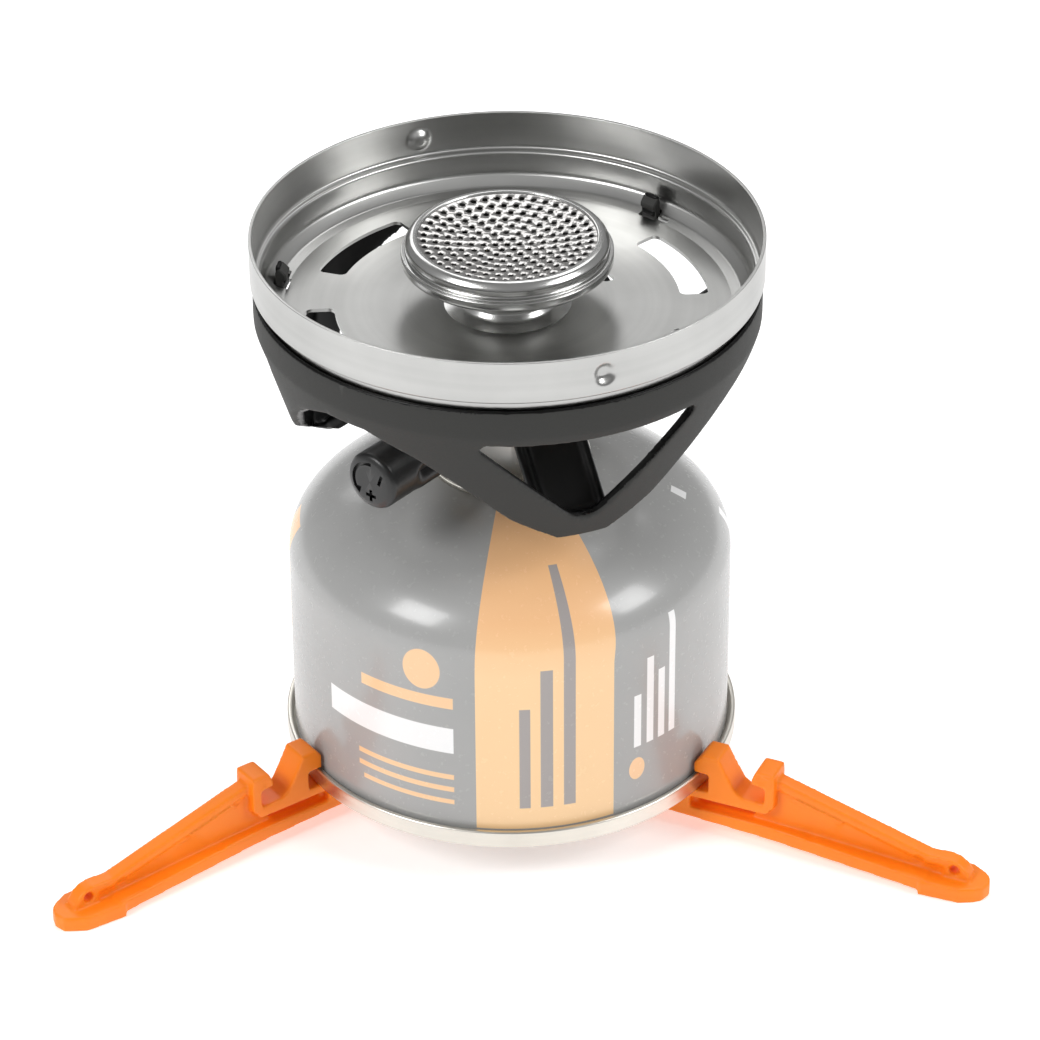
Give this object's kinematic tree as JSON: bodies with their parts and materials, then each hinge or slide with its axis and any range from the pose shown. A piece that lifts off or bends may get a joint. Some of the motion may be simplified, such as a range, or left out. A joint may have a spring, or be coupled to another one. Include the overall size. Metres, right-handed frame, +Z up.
{
  "type": "canister stove",
  "caption": "Camping gas stove: personal burner with a pot ring, screwed on a gas canister that stands in a folding three-legged stabiliser.",
  "frame": {"origin": "on the canister's axis, at ground level", "axes": "+Z up along the canister's axis, +Y along the back foot; the other two feet point to the front left and front right"},
  "size_m": [0.1884, 0.1647, 0.1258],
  "materials": {
    "can_paint": "grey paint with a printed band, satin",
    "can_seam": "tinned steel, satin",
    "cup_steel": "tinned steel, satin",
    "valve_plastic": "white plastic, matte",
    "valve_brass": "turned, satin",
    "spring_steel": "drawn wire, satin",
    "seal_rubber": "moulded, matte",
    "leg_plastic": "orange moulded plastic, satin",
    "rivet_steel": "satin",
    "body_metal": "dark anodised, satin",
    "nut_brass": "turned, satin",
    "spindle_steel": "turned, satin",
    "knob_plastic": "black moulded plastic, satin",
    "knob_cap_plastic": "black moulded plastic, satin",
    "base_plastic": "dark grey moulded plastic, matte",
    "screw_steel": "satin",
    "tube_metal": "satin",
    "pan_steel": "drawn sheet, bright satin",
    "head_metal": "turned, satin",
    "screen_steel": "woven, satin",
    "plate_steel": "pressed and punched, satin",
    "cap_metal": "turned, bright satin"
  },
  "bodies": {
    "stand": {"canister_shell": "can_paint", "canister_base": "can_seam", "valve_cup": "cup_steel", "valve_housing": "valve_plastic", "valve_gasket": "seal_rubber", "valve_spring": "spring_steel", "leg_back": "leg_plastic", "hub_rivet": "rivet_steel", "rivet_washer": "rivet_steel"},
    "left_leg": {"leg_left": "leg_plastic"},
    "right_leg": {"leg_right": "leg_plastic"},
    "stem": {"valve_stem": "valve_brass"},
    "seal_carrier": {"inlet_seal": "seal_rubber"},
    "burner": {"valve_body": "body_metal", "inlet_pin": "valve_brass", "inlet_filter": "valve_brass", "gland_nut": "nut_brass", "burner_base": "base_plastic", "base_screws": "screw_steel", "jet": "valve_brass", "mixing_tube": "tube_metal", "pot_ring": "pan_steel", "burner_head": "head_metal", "diffuser_screen": "screen_steel", "flame_plate": "plate_steel", "burner_cap": "cap_metal"},
    "spindle_carrier": {"spindle_seal": "seal_rubber"},
    "spindle": {"needle_spindle": "spindle_steel", "control_knob": "knob_plastic", "knob_cap": "knob_cap_plastic", "knob_screw": "screw_steel"}
  },
  "joints": [
    {"name": "leg_left_fold", "type": "hinge", "parent": "stand", "child": "left_leg", "pos_m": [0, 0, 0.0064], "axis": [0, 0, 1], "range_deg": [-104, 0]},
    {"name": "leg_right_fold", "type": "hinge", "parent": "stand", "child": "right_leg", "pos_m": [0, 0, 0.0085], "axis": [0, 0, 1], "range_deg": [0, 104]},
    {"name": "stem_lift", "type": "slide", "parent": "stand", "child": "stem", "axis": [0, 0, 1], "range_m": [0, 0.00145], "deforming": ["valve_spring"]},
    {"name": "burner_lift", "type": "slide", "parent": "stand", "child": "seal_carrier", "axis": [0, 0, 1], "range_m": [0, 0.00456]},
    {"name": "burner_turn", "type": "hinge", "parent": "seal_carrier", "child": "burner", "pos_m": [0, 0, 0.07], "axis": [0, 0, 1], "range_deg": [0, 1800]},
    {"name": "needle_travel", "type": "slide", "parent": "burner", "child": "spindle_carrier", "axis": [-0.6691, -0.7431, 0], "range_m": [0, 0.00102]},
    {"name": "knob_turn", "type": "hinge", "parent": "spindle_carrier", "child": "spindle", "pos_m": [0, 0, 0.0887], "axis": [-0.6691, -0.7431, 0], "range_deg": [0, 720]}
  ],
  "couplings": [
    {"joint": "burner_lift", "follows": "burner_turn", "m_per_rad": 0.00014435},
    {"joint": "stem_lift", "follows": "burner_turn", "m_per_rad": 0.000044563},
    {"joint": "needle_travel", "follows": "knob_turn", "m_per_rad": 0.000079577}
  ]
}
